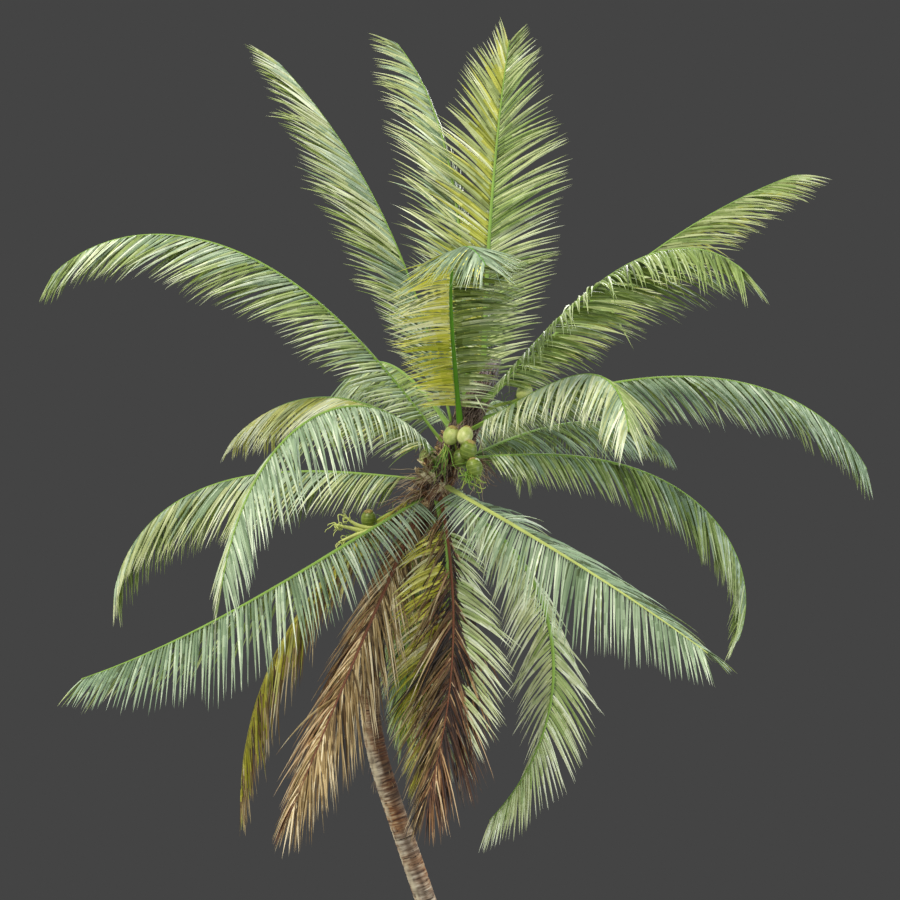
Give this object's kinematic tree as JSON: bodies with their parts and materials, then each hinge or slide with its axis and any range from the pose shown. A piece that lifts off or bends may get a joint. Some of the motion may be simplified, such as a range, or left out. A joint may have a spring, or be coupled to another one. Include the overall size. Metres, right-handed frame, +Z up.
{
  "type": "coconut palm tree",
  "caption": "Whole coconut palm: a slim ringed trunk that leans and curves, a full crown of arching feathered fronds with dead ones hanging below, and bunches of green coconuts.",
  "frame": {"origin": "middle of the trunk's flat cut at ground level", "axes": "+Z up, +X towards the side that the trunk's top curves to, -Y towards the side with the open front bunch"},
  "size_m": [11.4022, 9.1081, 15.0661],
  "materials": {
    "bark": "rough grey-brown bark with ring scars and fine cracks",
    "sheath_fibre": "matted dry brown fibre round the leaf bases",
    "leaf_green": "leathery green leaflets with a soft gloss, yellow-green stalks",
    "leaf_dying": "leaflets turning yellow and brown",
    "leaf_dead": "dry brown to straw leaflets",
    "coconut_husk": "smooth waxy yellow-green husk"
  },
  "bodies": {
    "root": {"coconut_bunch_back": "coconut_husk", "coconut_bunch_front": "coconut_husk", "coconut_bunch_left": "coconut_husk", "coconut_bunch_right": "coconut_husk", "crown_heart": "sheath_fibre", "dead_frond_front": "leaf_dead", "dead_frond_left": "leaf_dead", "dying_frond": "leaf_dying", "frond_01": "leaf_green", "frond_02": "leaf_green", "frond_03": "leaf_green", "frond_04_base": "leaf_green", "frond_04_tip": "leaf_green", "frond_05": "leaf_green", "frond_06": "leaf_green", "frond_07_base": "leaf_green", "frond_07_tip": "leaf_green", "frond_08": "leaf_green", "frond_09_base": "leaf_green", "frond_09_tip": "leaf_green", "frond_10": "leaf_green", "frond_11": "leaf_green", "frond_12": "leaf_green", "frond_13_base": "leaf_green", "frond_13_tip": "leaf_green", "frond_14_base": "leaf_green", "frond_14_tip": "leaf_green", "frond_15_base": "leaf_green", "frond_15_tip": "leaf_green", "frond_16": "leaf_green", "frond_17_base": "leaf_green", "frond_17_tip": "leaf_green", "frond_18": "leaf_green", "frond_19": "leaf_green", "frond_20": "leaf_green", "frond_21_base": "leaf_green", "frond_21_tip": "leaf_green", "frond_22": "leaf_green", "trunk": "bark"}
  },
  "joints": []
}
